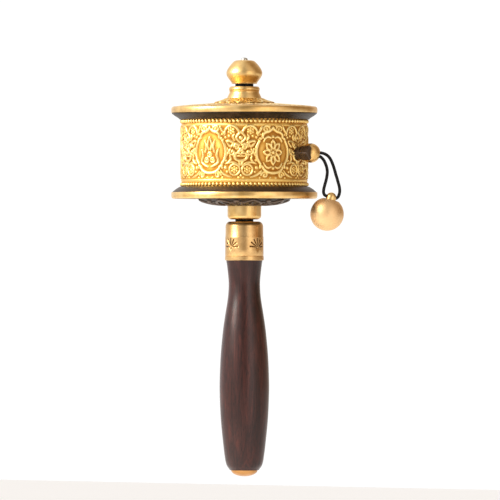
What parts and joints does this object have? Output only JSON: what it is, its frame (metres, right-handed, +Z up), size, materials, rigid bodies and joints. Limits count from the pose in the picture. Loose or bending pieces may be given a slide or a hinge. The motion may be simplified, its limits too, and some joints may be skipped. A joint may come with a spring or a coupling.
{
  "type": "hand prayer wheel",
  "caption": "Hand-held prayer wheel: turned wooden grip, embossed metal drum spinning on a steel spindle with ball bearings, and a ball weight on a looped cord.",
  "frame": {"origin": "on the spindle's axis, at the thickest section of the grip, where the hand holds it", "axes": "+Z up the spindle towards the finial, +X towards the boss that the cord comes out of"},
  "size_m": [0.096, 0.0804, 0.2304],
  "materials": {
    "wood_grip": "satin lacquer",
    "ferrule_brass": "engraved satin",
    "spindle_steel": "satin",
    "cap_brass": "worn satin",
    "polished_gold": "polished",
    "relief_gold": "satin with dark recesses",
    "antique_dark": "antiqued satin",
    "black_washer": "matte",
    "bearing_steel": "polished",
    "nut_brass": "plain",
    "scroll_paper": "paper, uncoated",
    "tie_silk": "silk thread",
    "cord_black": "waxed braid"
  },
  "bodies": {
    "handle": {"handle_grip": "wood_grip", "ferrule": "ferrule_brass", "spindle": "spindle_steel", "end_cap": "cap_brass", "finial": "polished_gold", "lower_spacer": "black_washer", "upper_spacer": "black_washer", "spacer_tube": "spindle_steel", "lower_inner_race": "bearing_steel", "upper_inner_race": "bearing_steel"},
    "drum": {"drum_barrel": "relief_gold", "upper_bead_ring": "relief_gold", "lower_bead_ring": "relief_gold", "top_cover": "antique_dark", "top_rim_band": "polished_gold", "lotus_ring": "relief_gold", "top_collar": "polished_gold", "collar_nut": "nut_brass", "bottom_cover": "antique_dark", "bottom_rim_band": "polished_gold", "underside_rosette": "antique_dark", "bottom_hub": "polished_gold", "hub_nut": "nut_brass", "core_tube": "scroll_paper", "mantra_scroll": "scroll_paper", "scroll_ties": "tie_silk", "lower_outer_race": "bearing_steel", "upper_outer_race": "bearing_steel", "lower_shields": "bearing_steel", "upper_shields": "bearing_steel", "cord_boss": "antique_dark", "boss_nut": "nut_brass", "cord_bead": "polished_gold", "cord_knot": "cord_black"},
    "lower_ball_set": {"lower_balls": "bearing_steel", "lower_cage": "nut_brass"},
    "upper_ball_set": {"upper_balls": "bearing_steel", "upper_cage": "nut_brass"},
    "cord": {"cord_loop": "cord_black"},
    "weight": {"weight_eye": "polished_gold", "weight_ball": "polished_gold"}
  },
  "joints": [
    {"name": "drum_spin", "type": "hinge", "parent": "handle", "child": "drum", "pos_m": [0, 0, 0.1263], "axis": [0, 0, 1], "continuous": true},
    {"name": "lower_ball_orbit", "type": "hinge", "parent": "handle", "child": "lower_ball_set", "pos_m": [0, 0, 0.0938], "axis": [0, 0, 1], "continuous": true},
    {"name": "upper_ball_orbit", "type": "hinge", "parent": "handle", "child": "upper_ball_set", "pos_m": [0, 0, 0.1599], "axis": [0, 0, 1], "continuous": true},
    {"name": "cord_swing", "type": "hinge", "parent": "drum", "child": "cord", "pos_m": [0.04663, 0.01143, 0.1245], "axis": [0.7071, -0.7071, 0], "range_deg": [-2, 100], "deforming": ["cord_loop"]},
    {"name": "weight_sway", "type": "hinge", "parent": "cord", "child": "weight", "pos_m": [0.04829, 0.01309, 0.1024], "axis": [0.6846, 0.6846, -0.2504], "range_deg": [-60, 15]}
  ],
  "couplings": [
    {"joint": "lower_ball_orbit", "follows": "drum_spin", "ratio": 0.6},
    {"joint": "upper_ball_orbit", "follows": "drum_spin", "ratio": 0.6}
  ]
}
